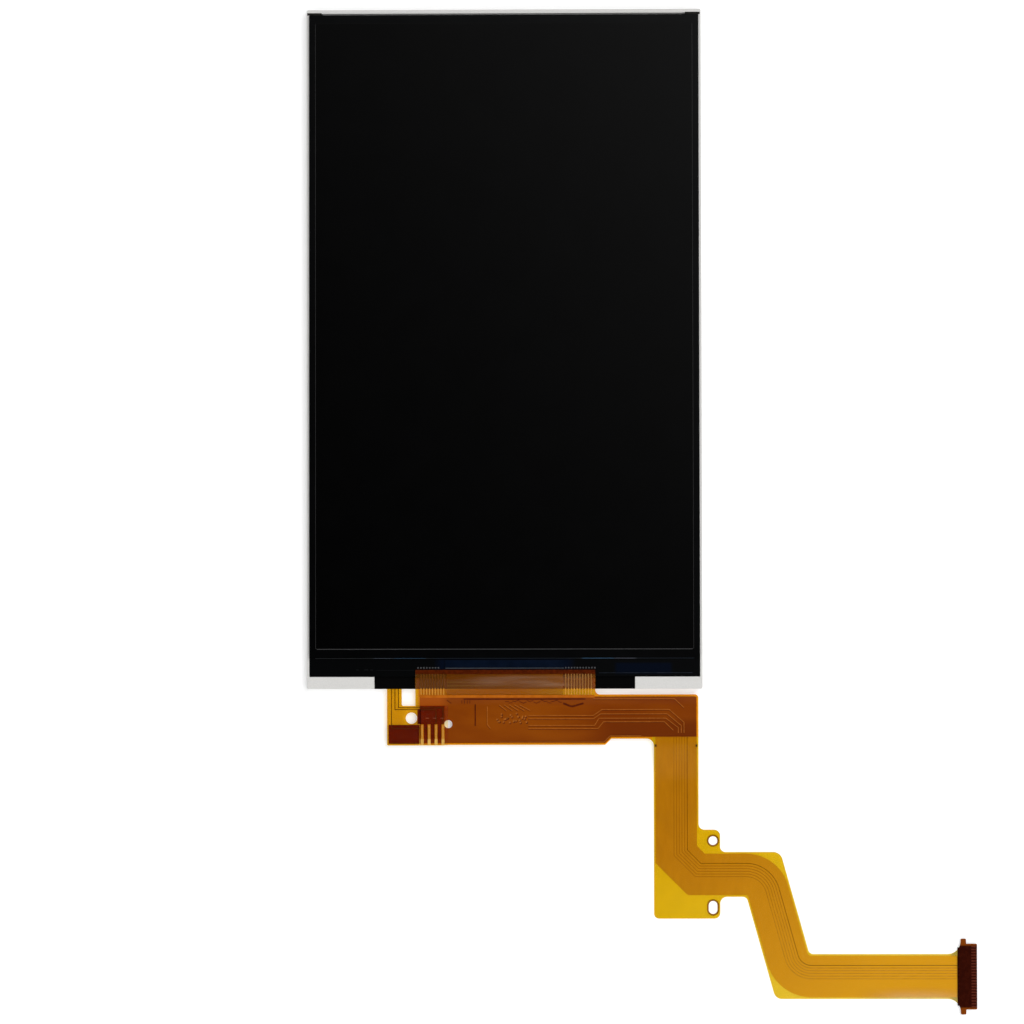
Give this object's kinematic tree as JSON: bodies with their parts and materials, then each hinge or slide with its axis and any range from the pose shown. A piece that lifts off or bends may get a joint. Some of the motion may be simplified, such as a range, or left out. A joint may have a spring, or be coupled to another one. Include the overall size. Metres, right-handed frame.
{
  "type": "tft display module",
  "caption": "Thin-film-transistor display module: a dark glass panel in a white backlight frame, with an amber flexible circuit that ends in a contact tail.",
  "frame": {"origin": "middle of the module's back face, on the surface that it lies on", "axes": "+X to the right and +Y to the top of the picture, +Z out of the picture towards the viewer"},
  "size_m": [0.1176, 0.1771, 0.0018],
  "materials": {
    "white_plastic": "satin white moulding",
    "led_housing": "white moulding",
    "reflector_film": "silvery film",
    "clear_plastic": "clear, polished",
    "optical_film": "clear to milky film",
    "black_tape": "matt black film tape",
    "polariser_film": "dark, glossy film",
    "panel_glass": "polished glass with a black inner mask",
    "silicon": "polished bare die",
    "amber_film": "see-through amber film",
    "dark_amber_film": "dark amber laminate",
    "copper": "copper foil under film",
    "gold_plating": "gold plate",
    "ceramic": "fired ceramic",
    "tinned_caps": "tin plate"
  },
  "bodies": {
    "root": {"mould_frame": "white_plastic", "backlight_leds": "led_housing", "reflector_sheet": "reflector_film", "light_guide": "clear_plastic", "diffuser_sheet": "optical_film", "lower_prism_sheet": "optical_film", "upper_prism_sheet": "optical_film", "rim_tape": "black_tape", "front_polariser": "polariser_film", "rear_polariser": "polariser_film", "array_glass": "panel_glass", "colour_filter_glass": "panel_glass", "driver_chip": "silicon", "main_flex_base": "amber_film", "main_flex_coverlay": "amber_film", "led_flex_base": "amber_film", "led_flex_coverlay": "amber_film", "main_flex_outer_layers": "dark_amber_film", "contact_stiffener": "dark_amber_film", "led_flex_stiffener": "dark_amber_film", "main_flex_copper": "copper", "led_flex_copper": "copper", "locating_rings": "copper", "contact_fingers": "gold_plating", "backlight_lands": "gold_plating", "capacitor_bodies": "ceramic", "capacitor_caps": "tinned_caps"}
  },
  "joints": []
}
